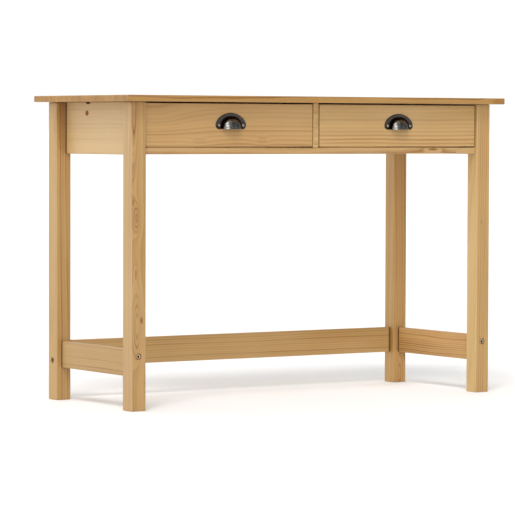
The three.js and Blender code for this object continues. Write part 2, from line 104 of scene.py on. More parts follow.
def make_sky():
    """A white wall to the rear of the desk, a dimmer room to the front and a dark corner on the right."""
    world = bpy.data.worlds.new("studio")
    world.use_nodes = True
    tree = world.node_tree
    direction = tree.nodes.new("ShaderNodeTexCoord").outputs["Generated"]

    def towards(way, ends):
        """A level that goes from ends[2] to ends[3] as the direction turns towards `way`."""
        turned = tree.nodes.new("ShaderNodeVectorMath")
        turned.operation = "DOT_PRODUCT"
        turned.inputs[1].default_value = way
        level = tree.nodes.new("ShaderNodeMapRange")
        level.interpolation_type = "SMOOTHSTEP"
        for key, value in zip(("From Min", "From Max", "To Min", "To Max"), ends):
            level.inputs[key].default_value = value
        tree.links.new(direction, turned.inputs[0])
        tree.links.new(turned.outputs["Value"], level.inputs["Value"])
        return level.outputs["Result"]

    strength = tree.nodes.new("ShaderNodeMath")
    strength.operation = "MULTIPLY"
    tree.links.new(towards((0.55, 0.835, 0.0), (-0.2, 0.55, 0.78, 1.03)), strength.inputs[0])
    tree.links.new(towards((0.85, -0.52, 0.0), (0.30, 0.80, 1.0, 0.20)), strength.inputs[1])
    tree.links.new(strength.outputs[0], tree.nodes["Background"].inputs["Strength"])
    tree.nodes["Background"].inputs["Color"].default_value = (1.0, 1.0, 1.0, 1.0)
    bpy.context.scene.world = world


def make_studio():
    make_sky()
    sun("key", (-0.45, -0.50, 0.80), 1.40, 22, (1.0, 0.99, 0.97))
    sun("front_fill", (-0.50, -0.85, 0.15), 1.10, 45, (1.0, 0.995, 0.98))
    sun("left_fill", (-1.0, -0.10, 0.30), 0.25, 70, (0.98, 1.0, 1.02))
    sun("left_rear_softbox", (-0.55, 0.80, 0.15), 0.50, 40, (1.0, 1.0, 1.0))

    bpy.ops.mesh.primitive_circle_add(vertices=64, radius=FLOOR_RADIUS, fill_type="NGON")
    floor = bpy.context.object
    floor.name = "floor"
    floor.data.materials.append(floor_material())
    bpy.context.scene.view_settings.view_transform = "Standard"


# ---- node graphs ----


class Graph:
    """A short way to write a material's node tree. Any value may be a number, a tuple or a socket."""

    def __init__(self, name):
        self.material = bpy.data.materials.new(name)
        self.material.use_nodes = True
        self.tree = self.material.node_tree
        self.shader = self.tree.nodes["Principled BSDF"]

    def put(self, value, socket):
        if isinstance(value, bpy.types.NodeSocket):
            self.tree.links.new(value, socket)
        else:
            socket.default_value = value

    def set(self, **values):
        """Sets inputs of the main shader: base_color=..., roughness=... and so on."""
        for key, value in values.items():
            self.put(value, self.shader.inputs[key.replace("_", " ").title().replace("Ior", "IOR")])

    def math(self, operation, *values, clamp=False):
        node = self.tree.nodes.new("ShaderNodeMath")
        node.operation = operation
        node.use_clamp = clamp
        for value, socket in zip(values, node.inputs):
            self.put(value, socket)
        return node.outputs[0]

    def vector(self, operation, *values):
        node = self.tree.nodes.new("ShaderNodeVectorMath")
        node.operation = operation
        for value, socket in zip(values, node.inputs):
            self.put(value, socket)
        return node.outputs["Value" if operation in ("LENGTH", "DOT_PRODUCT") else "Vector"]

    def scale(self, vector, factor):
        node = self.tree.nodes.new("ShaderNodeVectorMath")
        node.operation = "SCALE"
        self.put(vector, node.inputs["Vector"])
        self.put(factor, node.inputs["Scale"])
        return node.outputs["Vector"]

    def total(self, first, *others):
        for other in others:
            first = self.math("ADD", first, other)
        return first

    def coordinates(self, kind="Object"):
        return self.tree.nodes.new("ShaderNodeTexCoord").outputs[kind]

    def split(self, vector):
        node = self.tree.nodes.new("ShaderNodeSeparateXYZ")
        self.put(vector, node.inputs[0])
        return node.outputs[0], node.outputs[1], node.outputs[2]

    def combine(self, x, y, z):
        node = self.tree.nodes.new("ShaderNodeCombineXYZ")
        for value, socket in zip((x, y, z), node.inputs):
            self.put(value, socket)
        return node.outputs[0]

    def noise(self, vector, scale, detail=2.0, roughness=0.5):
        """Noise around 0, mostly between -0.5 and 0.5."""
        node = self.tree.nodes.new("ShaderNodeTexNoise")
        self.put(vector, node.inputs["Vector"])
        node.inputs["Scale"].default_value = scale
        node.inputs["Detail"].default_value = detail
        node.inputs["Roughness"].default_value = roughness
        return self.math("SUBTRACT", node.outputs["Fac"], 0.5)

    def random(self, value):
        """Three random numbers from 0 to 1 for each value."""
        node = self.tree.nodes.new("ShaderNodeTexWhiteNoise")
        node.noise_dimensions = "1D"
        self.put(value, node.inputs["W"])
        return self.split(node.outputs["Color"])

    def smooth(self, value, low, high):
        """0 below low, 1 above high and a smooth step between them. low may be above high."""
        node = self.tree.nodes.new("ShaderNodeMapRange")
        node.interpolation_type = "SMOOTHSTEP"
        ends = (low, high, 0.0, 1.0) if low < high else (high, low, 1.0, 0.0)
        self.put(value, node.inputs["Value"])
        for number, key in zip(ends, ("From Min", "From Max", "To Min", "To Max")):
            node.inputs[key].default_value = number
        return node.outputs["Result"]

    def mix(self, factor, first, second):
        node = self.tree.nodes.new("ShaderNodeMix")
        node.data_type = "RGBA"
        self.put(factor, node.inputs["Factor"])
        self.put(first, node.inputs[6])  # inputs 6 and 7 are the colours A and B
        self.put(second, node.inputs[7])
        return node.outputs[2]

    def bump(self, height, strength, distance, normal=None):
        node = self.tree.nodes.new("ShaderNodeBump")
        node.inputs["Strength"].default_value = strength
        node.inputs["Distance"].default_value = distance
        self.put(height, node.inputs["Height"])
        if normal is not None:
            self.put(normal, node.inputs["Normal"])
        self.put(node.outputs["Normal"], self.shader.inputs["Normal"])

    def rounded_normal(self, radius):
        node = self.tree.nodes.new("ShaderNodeBevel")
        node.samples = 4
        node.inputs["Radius"].default_value = radius
        return node.outputs["Normal"]


def floor_material():
    graph = Graph("floor")
    speckle = graph.noise(graph.coordinates(), 40.0, 3.0)
    level = graph.math("MULTIPLY_ADD", speckle, 0.01, 0.955)
    graph.set(base_color=graph.combine(level, level, level), roughness=0.9, specular_ior_level=0.1)
    return graph.material


# ---- wood ----

WAXED = {"early": srgb(182, 148, 101), "late": srgb(131, 88, 46), "warm": srgb(175, 135, 81)}
RAW = {"early": srgb(200, 171, 128), "late": srgb(172, 134, 90), "warm": srgb(192, 156, 108)}
PLY = {"early": srgb(190, 158, 114), "late": srgb(166, 130, 88), "warm": srgb(184, 148, 100)}
KNOT_AND_SHADE_BROWN = srgb(122, 70, 0)
SEAM_SHADE_BROWN = srgb(72, 34, 4)
RUST_AND_SHADE_BROWN = srgb(164, 106, 36)
EDGE_PALE = srgb(190, 157, 112)
GRAIN_AXES = {"x": (1, 2, 0), "y": (2, 0, 1), "z": (0, 1, 2)}  # across, across and along the grain

# The way each stretcher bolt's head faces.
BOLT_WAYS = {
    "side_stretcher_bolt_front_left": (0, -1, 0),
    "side_stretcher_bolt_front_right": (0, -1, 0),
    "side_stretcher_bolt_rear_left": (0, 1, 0),
    "side_stretcher_bolt_rear_right": (0, 1, 0),
    "rear_stretcher_bolt_left": (-1, 0, 0),
    "rear_stretcher_bolt_right": (1, 0, 0),
}
# Painted shade that darkens these bolts' heads.
BOLT_HEAD_SHADE = {"rear_stretcher_bolt_left": 0.8, "side_stretcher_bolt_front_right": 0.2}
SOCKET_CORNERS = 2.5 * MM / math.cos(math.pi / 6)
BRIGHT_RING = 4.3 * MM  # radius of the clean metal on a bolt's head
COUNTERBORE = 7.0 * MM


def bolt_head(node):
    """The middle of a bolt's outer face, and the way it faces."""
    low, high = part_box(node)
    outward = Vector(BOLT_WAYS[node])
    return (low + high) / 2 + outward * max((high - low) / 2), outward


def box_edges(graph, point, node):
    """1 along the twelve edges of a node's box and 0 away from them."""
    low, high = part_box(node)
    near = []
    for value, start, end in zip(graph.split(point), low, high):
        offset = graph.math("ABSOLUTE", graph.math("SUBTRACT", value, (start + end) / 2))
        inside = graph.math("SUBTRACT", (end - start) / 2, offset)
        near.append(graph.smooth(inside, 3.2 * MM, 0.4 * MM))
    pairs = [graph.math("MULTIPLY", near[i], near[(i + 1) % 3]) for i in range(3)]
    return graph.math("MINIMUM", graph.total(*pairs), 1.0)


def pine(
    node,
    grain,
    seed,
    palette=WAXED,
    heart=(0.06, 0.12),
    spacing=5.0,
    slope=(0.0, 0.0),
    wander=12.0,
    contrast=0.7,
    tint=(1.0, 1.0, 1.0),
    left=None,
    front=None,
    seam_shades=(0.0, 0.0),
    bolt=None,
    stave=0.0,
    breaks=(),
    knots_and_shades=(),
):
    """Solid pine. The growth rings run round a heart line that lies outside the board.

    heart and slope place that line from the board's middle, across the grain; spacing and wander
    are the rings' width and waviness in millimetres. tint colours the whole board, partly with
    painted light and shade. left and front paint light and shade on the skin of those faces, and
    the rings are fainter on the left one. The seam strengths paint shade on the ends of the grain,
    where the board meets another one, and bolt names the bolt whose counterbore and the wood round
    it are painted orange-brown as shade in the recess. stave is the width of the glued strips, and
    breaks are the finger joints along the grain. A knot is (centre, reach across, reach along, how
    far it lifts the rings, how brown it is); the same form with no lift gives a painted shade. One
    that is more than 1 brown is painted as a dark hole, which is painted shade.
    """
    graph = Graph(f"{node}_wood")
    low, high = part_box(node)
    middle = (low + high) / 2
    point = graph.coordinates()
    placed = graph.vector("SUBTRACT", point, tuple(middle))
    across_1, across_2, along = (graph.split(placed)[i] for i in GRAIN_AXES[grain])

    # Each stave or finger-jointed length is cut from another part of the tree.
    piece = seed * 3.7
    if stave:
        strip = across_1 if grain == "x" else across_2
        strips = graph.math("MULTIPLY_ADD", strip, 1 / stave, seed * 0.37)
        piece = graph.math("ADD", graph.math("FLOOR", strips), piece)
    for position in breaks:
        beyond = graph.math("GREATER_THAN", along, position - middle[GRAIN_AXES[grain][2]])
        piece = graph.math("MULTIPLY_ADD", beyond, 11.3, piece)
    chance_1, chance_2, chance_3 = graph.random(piece)
    shift_1 = graph.math("MULTIPLY_ADD", chance_1, 0.05, -heart[0])
    shift_2 = graph.math("MULTIPLY_ADD", chance_2, 0.05, -heart[1])
    shift_3 = graph.math("MULTIPLY", chance_3, 5.0)

    # Distance from the heart line, in ring widths.
    length = graph.math("ADD", along, shift_3)
    drift = graph.noise(graph.combine(across_1, across_2, graph.math("MULTIPLY", length, 0.4)), 7.0, 1.5)
    ripple = graph.noise(graph.combine(across_1, across_2, graph.math("MULTIPLY", length, 0.3)), 45.0, 2.0)
    side_1 = graph.total(across_1, shift_1, graph.math("MULTIPLY", along, slope[0]))
    side_2 = graph.total(across_2, shift_2, graph.math("MULTIPLY", along, slope[1]))
    radius = graph.vector("LENGTH", graph.combine(side_1, side_2, 0.0))
    radius = graph.math("MULTIPLY_ADD", drift, wander * MM, radius)
    radius = graph.math("MULTIPLY_ADD", ripple, wander * MM * 0.12, radius)
    core = 0.0
    if knots_and_shades:
        ragged = graph.noise(point, 150.0, 2.0)
    for centre, reach_across, reach_along, lift, dark in knots_and_shades:
        reach = [reach_across] * 3
        reach[GRAIN_AXES[grain][2]] = reach_along
        offset = graph.vector("SUBTRACT", point, centre)
        stretched = graph.vector("MULTIPLY", offset, tuple(1 / r for r in reach))
        squared = graph.vector("DOT_PRODUCT", stretched, stretched)
        swell = graph.math("EXPONENT", graph.math("MULTIPLY", squared, -1.0))
        radius = graph.math("MULTIPLY_ADD", swell, lift, radius)
        if dark:
            frayed = graph.math("MULTIPLY", squared, graph.math("MULTIPLY_ADD", ragged, 1.2, 1.0))
            inner = graph.math("MULTIPLY", graph.smooth(frayed, 0.34, 0.12), dark)
            core = graph.math("MAXIMUM", inner, core)

    def rings(width, strength):
        """Dark late wood that builds up across each ring and ends sharply."""
        turns = graph.math("DIVIDE", radius, width)
        part = graph.math("FRACT", turns)
        rise = graph.smooth(part, 0.25, 0.88)
        fall = graph.smooth(part, 1.0, 0.9)
        chance = graph.random(graph.math("ADD", graph.math("FLOOR", turns), seed))[0]
        chance = graph.math("MULTIPLY", chance, chance)
        level = graph.math("MULTIPLY_ADD", chance, 0.85 * strength, 0.15 * strength)
        return graph.math("MULTIPLY", graph.math("MULTIPLY", rise, fall), level)

    late = graph.math("ADD", rings(spacing * MM, contrast), rings(spacing * MM * 0.31, contrast * 0.35))
    squeezed = graph.combine(across_1, across_2, graph.math("MULTIPLY", length, 0.02))
    streak = graph.noise(squeezed, 110.0, 3.0, 0.6)
    fibre = graph.noise(squeezed, 900.0, 2.0, 0.6)
    blotch = graph.noise(graph.combine(across_1, across_2, graph.math("MULTIPLY", length, 0.35)), 9.0, 2.0)

    late = graph.math("MULTIPLY", late, graph.math("MULTIPLY_ADD", blotch, 1.8, 0.8, clamp=True), clamp=True)
    # The left and front skins are painted light and shade: those faces are painted lighter or darker, and
    # the rings fainter on the left face.
    skins = []
    for skin, axis in ((left, 0), (front, 1)):
        if skin:
            depth = graph.math("SUBTRACT", graph.split(point)[axis], low[axis])
            skins.append((skin, graph.smooth(depth, 4 * MM, 0.0)))
    if left:
        late = graph.math("MULTIPLY", late, graph.math("MULTIPLY_ADD", skins[0][1], -0.5, 1.0))
    warmth = graph.math("MULTIPLY_ADD", blotch, 1.6, 0.45, clamp=True)
    colour = graph.mix(warmth, palette["early"], palette["warm"])
    colour = graph.mix(late, colour, palette["late"])
    tone = graph.math("MULTIPLY_ADD", chance_3, 0.14 if stave or breaks else 0.0, 1.0)
    tone = graph.math("MULTIPLY_ADD", streak, 0.24, tone)
    tone = graph.math("MULTIPLY_ADD", fibre, 0.10, tone)
    normal_parts = graph.split(graph.coordinates("Normal"))
    facing = graph.math("ABSOLUTE", normal_parts[GRAIN_AXES[grain][2]])
    end_grain = graph.smooth(facing, 0.55, 0.9)
    banding = graph.noise(graph.combine(across_1, graph.math("MULTIPLY", across_2, 0.3), 0.0), 75.0, 2.0)
    tone = graph.math("MULTIPLY_ADD", graph.math("MULTIPLY", banding, end_grain), 0.85, tone)
    colour = graph.vector("MULTIPLY", graph.scale(colour, tone), tint)
    thirsty = graph.vector("MULTIPLY", colour, (0.86, 0.76, 0.62))
    colour = graph.mix(end_grain, colour, thirsty)
    # Painted light and shade on the left and front faces.
    for skin, near in skins:
        colour = graph.mix(near, colour, graph.vector("MULTIPLY", colour, skin))
    edges = box_edges(graph, point, node)
    rubbed = graph.math("MULTIPLY", edges, graph.math("MULTIPLY_ADD", streak, 1.2, 0.22, clamp=True))
    colour = graph.mix(rubbed, colour, EDGE_PALE)
    if knots_and_shades:
        # Knot colour, and the painted shade on the rear left leg.
        colour = graph.mix(core, colour, KNOT_AND_SHADE_BROWN)
        # Past 1 brown the mark is painted near black as a dark hole: painted shade in the apron's notch.
        colour = graph.scale(colour, graph.math("MULTIPLY_ADD", graph.smooth(core, 1.0, 1.6), -0.85, 1.0))
    half = (high - low)[GRAIN_AXES[grain][2]] / 2
    # Painted shade on the ends of the grain, where the board meets another one.
    for strength, end in zip(seam_shades, (-half, half)):
        if strength:
            inside = graph.math("ABSOLUTE", graph.math("SUBTRACT", along, end))
            seam_shade = graph.math("MULTIPLY", graph.smooth(inside, 9 * MM, 1.0 * MM), strength)
            colour = graph.mix(seam_shade, colour, SEAM_SHADE_BROWN)
    # Painted shade of the bolt's counterbore: the wood in and round it is painted orange-brown.
    if bolt:
        away = graph.vector("LENGTH", graph.vector("SUBTRACT", point, tuple(bolt_head(bolt)[0])))
        counterbore_shade = graph.math("MULTIPLY", graph.smooth(away, COUNTERBORE + 1.2 * MM, COUNTERBORE), 0.9)
        colour = graph.mix(counterbore_shade, colour, RUST_AND_SHADE_BROWN)

    rough = graph.total(
        0.46 if palette is WAXED else 0.62,
        graph.math("MULTIPLY", fibre, 0.18),
        graph.math("MULTIPLY", late, -0.08),
        graph.math("MULTIPLY", end_grain, 0.12),
        graph.math("MULTIPLY", core, 0.45),
    )
    graph.set(base_color=colour, roughness=rough, specular_ior_level=0.36)
    if palette is WAXED:
        graph.set(coat_weight=0.06, coat_roughness=0.32)
    relief = graph.total(graph.math("MULTIPLY", fibre, 0.8), graph.math("MULTIPLY", late, 0.5))
    graph.bump(relief, 0.22, 0.25 * MM, graph.rounded_normal(1.4 * MM))
    return graph.material


# Marks that show on single boards, as the knots of pine(). The apron has a knot and, under the
# top, a notch painted as a dark hole, which is painted shade; the rear left leg has painted shade
# on its front face beside the apron, under the top.
FRONT_LEFT_KNOTS = (
    ((-0.5105, -0.197, 0.452), 0.0100, 0.032, 0.024, 0.0),
    ((-0.5200, -0.197, 0.488), 0.0060, 0.015, 0.004, 0.45),
    ((-0.5085, -0.197, 0.200), 0.0120, 0.070, 0.028, 0.0),
    ((-0.4970, -0.197, 0.213), 0.0080, 0.018, 0.006, 0.7),
    ((-0.5126, -0.197, 0.322), 0.0050, 0.022, 0.008, 0.35),
    ((-0.5170, -0.197, 0.725), 0.0130, 0.170, 0.019, 0.0),
)
APRON_MARKS = (
    ((-0.500, 0.0536, 0.6984), 0.0140, 0.0150, 0.005, 1.0),
    # A notch painted as a dark hole: painted shade.
    ((-0.500, 0.0488, 0.7240), 0.0090, 0.0220, 0.004, 1.7),
)
RAIL_KNOTS = (((0.3524, -0.190, 0.6125), 0.0060, 0.030, 0.007, 0.75),)
REAR_RIGHT_KNOTS = (((0.5030, 0.157, 0.025), 0.013, 0.080, 0.040, 0.0),)
# Painted shade on the rear left leg's front face beside the apron, under the top.
REAR_LEFT_SHADE = (((-0.5000, 0.157, 0.670), 0.055, 0.150, 0.0, 0.27),)
TOP_KNOTS = (((0.5350, -0.225, 0.7315), 0.020, 0.045, 0.006, 0.35),)
FRONT_RIGHT_KNOTS = (
    ((0.5010, -0.197, 0.430), 0.0060, 0.016, 0.006, 0.3),
    ((0.5200, -0.197, 0.250), 0.0120, 0.080, 0.012, 0.0),
)
DRAWER_FIGURE = (
    ((-0.3330, -0.190, 0.632), 0.014, 0.040, 0.006, 0.12),
    ((-0.1570, -0.190, 0.634), 0.014, 0.030, 0.006, 0.14),
    ((-0.4600, -0.190, 0.690), 0.040, 0.110, 0.022, 0.0),
)

# The tints and skins hold the boards' own colours and some of the main view's light and shade.
BOARDS = {
    "tabletop": dict(
        grain="x",
        seed=3,
        heart=(0.03, 0.16),
        spacing=4.2,
        stave=0.052,
        contrast=1.0,
        left=(0.75, 0.72, 0.54),
        front=(0.81, 0.735, 0.54),
        knots_and_shades=TOP_KNOTS,
    ),
    "front_left_leg": dict(
        grain="z",
        seed=11,
        heart=(0.05, -0.11),
        spacing=7.0,
        slope=(0.01, 0.0),
        wander=9.0,
        contrast=1.45,
        tint=(0.99, 1.00, 0.99),
        left=(0.97, 1.02, 1.11),
        bolt="side_stretcher_bolt_front_left",
        knots_and_shades=FRONT_LEFT_KNOTS,
    ),
    "front_right_leg": dict(
        grain="z",
        seed=5,
        heart=(-0.12, 0.03),
        spacing=6.5,
        slope=(-0.012, 0.0),
        contrast=0.9,
        tint=(1.03, 1.06, 1.04),
        left=(1.09, 1.17, 1.19),
        bolt="side_stretcher_bolt_front_right",
        knots_and_shades=FRONT_RIGHT_KNOTS,
    ),
    "rear_left_leg": dict(
        grain="z",
        seed=8,
        heart=(0.12, 0.03),
        spacing=8.0,
        slope=(0.008, 0.01),
        contrast=1.05,
        tint=(0.92, 0.90, 0.81),
        left=(0.96, 1.02, 1.04),
        bolt="rear_stretcher_bolt_left",
        knots_and_shades=REAR_LEFT_SHADE,
    ),
    "rear_right_leg": dict(
        grain="z",
        seed=14,
        heart=(-0.11, -0.02),
        spacing=8.5,
        slope=(0.014, 0.0),
        contrast=1.4,
        tint=(1.10, 1.04, 0.89),
        left=(0.89, 0.92, 0.80),
        bolt="rear_stretcher_bolt_right",
        knots_and_shades=REAR_RIGHT_KNOTS,
    ),
    "left_apron": dict(
        grain="y",
        seed=21,
        heart=(-0.30, 0.05),
        spacing=9.0,
        contrast=0.28,
        tint=(1.10, 1.22, 1.44),
        seam_shades=(0.0, 1.2),
        knots_and_shades=APRON_MARKS,
    ),
    "right_apron": dict(grain="y", seed=24, heart=(0.28, 0.05), spacing=8.0, contrast=0.45),
    "rear_apron": dict(
        grain="x", seed=27, heart=(0.06, 0.26), spacing=8.0, contrast=0.5, breaks=(-0.13, 0.31)
    ),
    "front_rail": dict(
        grain="x",
        seed=31,
        heart=(0.09, 0.05),
        contrast=1.05,
        tint=(0.93, 0.97, 1.03),
        breaks=(0.424,),
        knots_and_shades=RAIL_KNOTS,
    ),
    "centre_partition": dict(grain="y", seed=33, heart=(0.10, 0.05), tint=(1.28, 1.52, 1.9)),
    "left_stretcher": dict(
        grain="y",
        seed=36,
        heart=(-0.15, 0.06),
        spacing=6.0,
        contrast=0.8,
        tint=(0.85, 0.86, 0.775),
        seam_shades=(0.0, 1.6),
    ),
    "right_stretcher": dict(
        grain="y",
        seed=39,
        heart=(0.13, -0.06),
        spacing=3.6,
        wander=18.0,
        contrast=1.2,
        tint=(1.08, 1.04, 0.94),
        seam_shades=(0.0, 1.4),
    ),
    "rear_stretcher": dict(
        grain="x",
        seed=42,
        heart=(0.05, -0.15),
        spacing=6.0,
        contrast=1.0,
        tint=(1.05, 1.08, 1.05),
        seam_shades=(0.5, 0.9),
    ),
    "left_drawer_front": dict(
        grain="x",
        seed=51,
        heart=(0.12, -0.26),
        spacing=10.0,
        wander=16.0,
        contrast=0.5,
        tint=(1.06, 1.07, 1.08),
        knots_and_shades=DRAWER_FIGURE,
    ),
    "right_drawer_front": dict(
        grain="x",
        seed=57,
        heart=(0.10, -0.30),
        spacing=9.0,
        wander=14.0,
        contrast=1.0,
        tint=(1.13, 1.20, 1.25),
    ),
}
RAW_GRAIN = {"back": "x", "bottom": "y", "side": "y", "runner": "y"}


def raw_board(node, seed):
    """The planed, unwaxed boards and the plywood inside the desk."""
    grain = RAW_GRAIN[node.rsplit("_", 1)[-1]]
    if node.endswith("bottom"):
        plywood = dict(palette=PLY, heart=(0.30, 0.10), spacing=14.0, wander=40.0, contrast=0.5)
        return pine(node, grain, seed, **plywood)
    return pine(node, grain, seed, palette=RAW, heart=(0.12, 0.10), spacing=5.5, contrast=0.5)


# ---- metal ----


def zinc(name, head=None, outward=None, head_shade=0.0):
    """Bright zinc plate, faintly clouded and scratched.

    A bolt, given by the middle of its head and the way it faces, has painted shade in its socket and
    rust on its rim, and its last argument darkens the rest of its head with painted shade.
    """
    graph = Graph(name)
    point = graph.coordinates()
    cloud = graph.math("MULTIPLY_ADD", graph.noise(point, 220.0, 3.0), 1.2, 0.5, clamp=True)
    scratch = graph.noise(graph.vector("MULTIPLY", point, (1.0, 0.2, 6.0)), 2600.0, 2.0, 0.7)
    colour = graph.mix(cloud, srgb(226, 225, 216), srgb(230, 222, 196))
    rough = graph.total(0.27, graph.math("MULTIPLY", cloud, 0.14), graph.math("MULTIPLY", scratch, 0.15))
    rust = 0.0
    if head is not None:
        offset = graph.vector("SUBTRACT", point, tuple(head))
        depth = graph.math("MULTIPLY", graph.vector("DOT_PRODUCT", offset, tuple(outward)), -1.0)
        sideways = graph.vector("ADD", offset, graph.scale(tuple(outward), depth))
        radial = graph.vector("LENGTH", sideways)
        # Painted shade in the hex socket, below its mouth.
        within = graph.smooth(radial, SOCKET_CORNERS + 0.5 * MM, SOCKET_CORNERS + 0.2 * MM)
        socket_shade = graph.math("MULTIPLY", within, graph.smooth(depth, 0.0, 0.4 * MM))
        # Painted shade over the whole head.
        colour = graph.scale(colour, 1.0 - head_shade)
        rust = graph.smooth(radial, BRIGHT_RING, BRIGHT_RING + 0.6 * MM)
        colour = graph.mix(rust, colour, RUST_AND_SHADE_BROWN)
        colour = graph.mix(socket_shade, colour, srgb(14, 13, 12))
        rough = graph.math("MULTIPLY_ADD", socket_shade, 0.35, rough)
    graph.set(base_color=colour, metallic=graph.math("MULTIPLY_ADD", rust, -0.6, 0.6), roughness=rough)
    graph.bump(scratch, 0.12, 0.1 * MM)
    return graph.material


def rubbed_pewter():
    """The handles' screws, rubbed bright on their domed heads."""
    graph = Graph("rubbed_pewter")
    cloud = graph.noise(graph.coordinates(), 700.0, 3.0, 0.65)
    level = graph.math("MULTIPLY_ADD", cloud, 1.6, 0.6, clamp=True)
    graph.set(base_color=graph.mix(level, srgb(96, 92, 88), srgb(186, 184, 180)), metallic=1.0)
    graph.set(roughness=graph.math("MULTIPLY_ADD", cloud, 0.2, 0.33))
    graph.bump(cloud, 0.15, 0.1 * MM)
    return graph.material


def pewter(node):
    """Dark antique plate, rubbed bright where it stands proud. Round the cup it is dark brown: patina in the
    crease, with painted shade and painted reflection of the wood, and a painted shadow line along the
    plate's edge.
    """
    low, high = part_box(node)
    graph = Graph(f"{node}_pewter")
    base = ((low.x + high.x) / 2, high.y, low.z)
    place = graph.vector("SUBTRACT", graph.coordinates(), base)
    x, y, z = graph.split(place)
    across = graph.math("POWER", graph.math("DIVIDE", graph.math("ABSOLUTE", x), CUP_WIDTH), CUP_POWER)
    upward = graph.math("POWER", graph.math("DIVIDE", graph.math("ABSOLUTE", z), CUP_HEIGHT), CUP_POWER)
    footprint = graph.math("ADD", across, upward)
    # Patina in the crease round the cup, with painted shade and painted reflection of the wood.
    crease = graph.math(
        "MULTIPLY", graph.smooth(footprint, 0.50, 0.78), graph.smooth(footprint, 1.70, 1.30)
    )
    height = graph.math("MULTIPLY", y, -1.0)
    crease = graph.math("MULTIPLY", crease, graph.smooth(height, 10.5 * MM, 6.0 * MM))
    # Painted shadow line along the plate's edge.
    turned = graph.math("ABSOLUTE", graph.split(graph.coordinates("Normal"))[1])
    rim = graph.math("MULTIPLY", graph.smooth(turned, 0.92, 0.55), graph.smooth(height, 2.4 * MM, 2.0 * MM))
    cloud = graph.noise(place, 160.0, 4.0, 0.65)
    brushed = graph.noise(graph.vector("MULTIPLY", place, (1.0, 1.0, 0.12)), 900.0, 3.0, 0.7)
    grit = graph.noise(place, 2600.0, 2.0, 0.7)
    proud = graph.smooth(height, 6.0 * MM, 11.0 * MM)
    rubbed = graph.math("MULTIPLY", proud, graph.math("MULTIPLY_ADD", cloud, 3.0, 0.5, clamp=True))
    patina = graph.math("MULTIPLY_ADD", cloud, 1.3, 0.5, clamp=True)
    colour = graph.mix(patina, srgb(62, 59, 56), srgb(88, 84, 80))
    colour = graph.mix(rubbed, colour, srgb(172, 171, 170))
    # Dark brown: patina, painted shade and painted reflection in the crease, painted shadow on the rim.
    colour = graph.mix(graph.math("MAXIMUM", crease, rim), colour, srgb(30, 13, 4))
    rough = graph.total(
        0.30,
        graph.math("MULTIPLY", brushed, 0.30),
        graph.math("MULTIPLY", crease, 0.30),
        graph.math("MULTIPLY", rubbed, -0.06),
    )
    graph.set(base_color=colour, metallic=1.0, roughness=rough)
    relief = graph.total(graph.math("MULTIPLY", brushed, 0.6), graph.math("MULTIPLY", grit, 0.5))
    graph.bump(relief, 0.25, 0.15 * MM)
    return graph.material


# ---- mesh building ----


def mesh_object(name, build, smooth_below=40.0):
    """A new object from bmesh code. Edges sharper than smooth_below degrees stay crisp."""
    bm = bmesh.new()
    build(bm)
    bmesh.ops.remove_doubles(bm, verts=bm.verts, dist=1e-6)
    bmesh.ops.recalc_face_normals(bm, faces=bm.faces)
    mesh = bpy.data.meshes.new(name)
    bm.to_mesh(mesh)
    bm.free()
    mesh.shade_smooth()
    mesh.set_sharp_from_angle(angle=math.radians(smooth_below))
    piece = bpy.data.objects.new(name, mesh)
    bpy.context.scene.collection.objects.link(piece)
    return piece


def sweep(bm, loops, cap=True):
    """Joins closed loops with the same number of points, and closes both ends."""
    rows = [[bm.verts.new(point) for point in loop] for loop in loops]
    count = len(rows[0])
    for first, second in zip(rows, rows[1:]):
        for i in range(count):
            j = (i + 1) % count
            bm.faces.new((first[i], first[j], second[j], second[i]))
    if cap:
        bm.faces.new(rows[0])
        bm.faces.new(rows[-1])


def lathe(bm, profile, sides, placing):
    """Turns (radius, height) pairs round the Z axis and places the result. Both ends are on the axis."""
    rings = []
    for radius, height in profile:
        ring = []
        for i in range(sides):
            angle = 2 * math.pi * i / sides
            point = Vector((radius * math.cos(angle), radius * math.sin(angle), height))
            ring.append(placing @ point)
        rings.append(ring)
    sweep(bm, rings)


def subtract(piece, cutter):
    """Cuts cutter out of piece and deletes it."""
    modifier = piece.modifiers.new("cut", "BOOLEAN")
    modifier.operation = "DIFFERENCE"
    modifier.solver = "EXACT"
    modifier.object = cutter
    depsgraph = bpy.context.evaluated_depsgraph_get()
    result = bpy.data.meshes.new_from_object(piece.evaluated_get(depsgraph))
    piece.modifiers.clear()
    piece.data = result
    bpy.data.objects.remove(cutter)
    result.shade_smooth()
    result.set_sharp_from_angle(angle=math.radians(35))


def stand_in(piece, node, body, material):
    """Gives a detailed piece its material, hangs it on its body and hides the CAD node whose place it takes.
    """
    piece.data.materials.clear()
    piece.data.materials.append(material)
    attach(piece, body)
    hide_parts(node)


# ---- cup handles ----

PLATE_HALF_WIDTH = 42.8 * MM
PLATE_HALF_FOOT = 34.5 * MM
PLATE_SHOULDER = 10 * MM
PLATE_HEIGHT = 38.5 * MM
PLATE_POWER = 1.85
CUP_WIDTH = 26 * MM
CUP_HEIGHT = 26 * MM
CUP_DEPTH = 18.5 * MM
CUP_WALL = 1.6 * MM
CUP_POWER = 2.3
HANDLE_COLUMNS = 88


